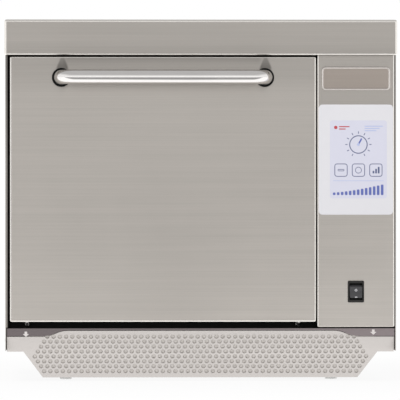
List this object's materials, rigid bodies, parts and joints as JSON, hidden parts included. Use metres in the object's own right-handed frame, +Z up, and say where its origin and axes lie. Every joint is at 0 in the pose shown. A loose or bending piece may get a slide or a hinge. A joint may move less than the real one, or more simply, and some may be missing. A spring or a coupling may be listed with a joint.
{
  "type": "speed oven",
  "caption": "Countertop speed oven with a drop-down door and bar handle, a touch control column, a rocker switch and a pull-off perforated air filter below.",
  "frame": {"origin": "on the worktop under the middle of the whole oven, handle and exhaust outlet included", "axes": "+X to the right seen from the front, +Y from the door to the back, +Z up"},
  "size_m": [0.598, 0.639, 0.551],
  "materials": {
    "brushed_casing": "satin",
    "sheet_steel": "satin",
    "heater_steel": "matte",
    "polished_steel": "polished",
    "black_plastic": "satin",
    "white_plastic": "satin",
    "grey_plastic": "matte",
    "circuit_board": "satin",
    "cast_aluminium": "satin",
    "motor_casing": "satin",
    "glass_wool": "matte",
    "filter_mesh": "matte",
    "ceramic_plate": "matte",
    "seal_rubber": "matte",
    "foot_rubber": "matte"
  },
  "bodies": {
    "case": {"top_cover": "brushed_casing", "left_side_panel": "brushed_casing", "right_side_panel": "brushed_casing", "rear_panel": "brushed_casing", "base_pan": "sheet_steel", "base_front_strip": "sheet_steel", "intake_duct": "sheet_steel", "front_frame": "sheet_steel", "foot_front_left": "foot_rubber", "foot_front_right": "foot_rubber", "foot_rear_left": "foot_rubber", "foot_rear_right": "foot_rubber", "control_panel": "brushed_casing", "badge_plate": "polished_steel", "touch_overlay": "white_plastic", "display_module": "black_plastic", "control_board": "circuit_board", "switch_bezel": "black_plastic", "cavity_liner": "sheet_steel", "insulation_wrap": "glass_wool", "fan_baffle": "sheet_steel", "heater_coil": "heater_steel", "motor_bulkhead": "sheet_steel", "fan_motor": "motor_casing", "stirrer_cover": "ceramic_plate", "stirrer_motor": "grey_plastic", "waveguide": "cast_aluminium", "magnetron": "cast_aluminium", "high_voltage_transformer": "sheet_steel", "high_voltage_capacitor": "cast_aluminium", "cooling_fan_housing": "black_plastic", "rack_support_left": "sheet_steel", "rack_support_right": "sheet_steel", "hinge_bracket_left": "sheet_steel", "hinge_bracket_right": "sheet_steel", "interlock_switch_upper": "black_plastic", "interlock_switch_lower": "black_plastic", "exhaust_duct": "sheet_steel", "cable_gland": "black_plastic"},
    "door": {"door_skin": "brushed_casing", "door_inner_plate": "polished_steel", "choke_cover": "white_plastic", "door_insulation": "glass_wool", "door_seal": "seal_rubber", "handle_bar": "polished_steel", "handle_collar_left": "black_plastic", "handle_collar_right": "black_plastic", "door_hinge_carrier_left": "sheet_steel", "door_hinge_carrier_right": "sheet_steel", "door_hinge_pin_left": "polished_steel", "door_hinge_pin_right": "polished_steel", "interlock_tongue_upper": "sheet_steel", "interlock_tongue_lower": "sheet_steel"},
    "air_filter": {"air_filter_plate": "brushed_casing", "air_filter_mesh": "filter_mesh"},
    "power_rocker": {"switch_rocker": "black_plastic"},
    "convection_rotor": {"convection_fan": "cast_aluminium"},
    "cooling_rotor": {"cooling_fan_wheel": "black_plastic"},
    "stirrer_rotor": {"stirrer": "cast_aluminium"},
    "rack": {"wire_rack": "polished_steel"}
  },
  "joints": [
    {"name": "door_hinge", "type": "hinge", "parent": "case", "child": "door", "pos_m": [-0.0576, -0.2565, 0.094], "axis": [1, 0, 0], "range_deg": [0, 90]},
    {"name": "air_filter_pull", "type": "slide", "parent": "case", "child": "air_filter", "axis": [0, -1, 0], "range_m": [0, 0.08]},
    {"name": "power_switch", "type": "hinge", "parent": "case", "child": "power_rocker", "pos_m": [0.2362, -0.2655, 0.137], "axis": [1, 0, 0], "range_deg": [0, 16]},
    {"name": "convection_fan_spin", "type": "hinge", "parent": "case", "child": "convection_rotor", "pos_m": [-0.0576, 0.11, 0.292], "axis": [0, 1, 0], "continuous": true},
    {"name": "cooling_fan_spin", "type": "hinge", "parent": "case", "child": "cooling_rotor", "pos_m": [0.2285, 0.29, 0.2832], "axis": [0, 1, 0], "continuous": true},
    {"name": "stirrer_spin", "type": "hinge", "parent": "case", "child": "stirrer_rotor", "pos_m": [-0.0576, -0.0692, 0.153], "axis": [0, 0, 1], "continuous": true},
    {"name": "rack_lift", "type": "slide", "parent": "case", "child": "rack", "axis": [0, 0, 1], "range_m": [0, 0.04]}
  ]
}
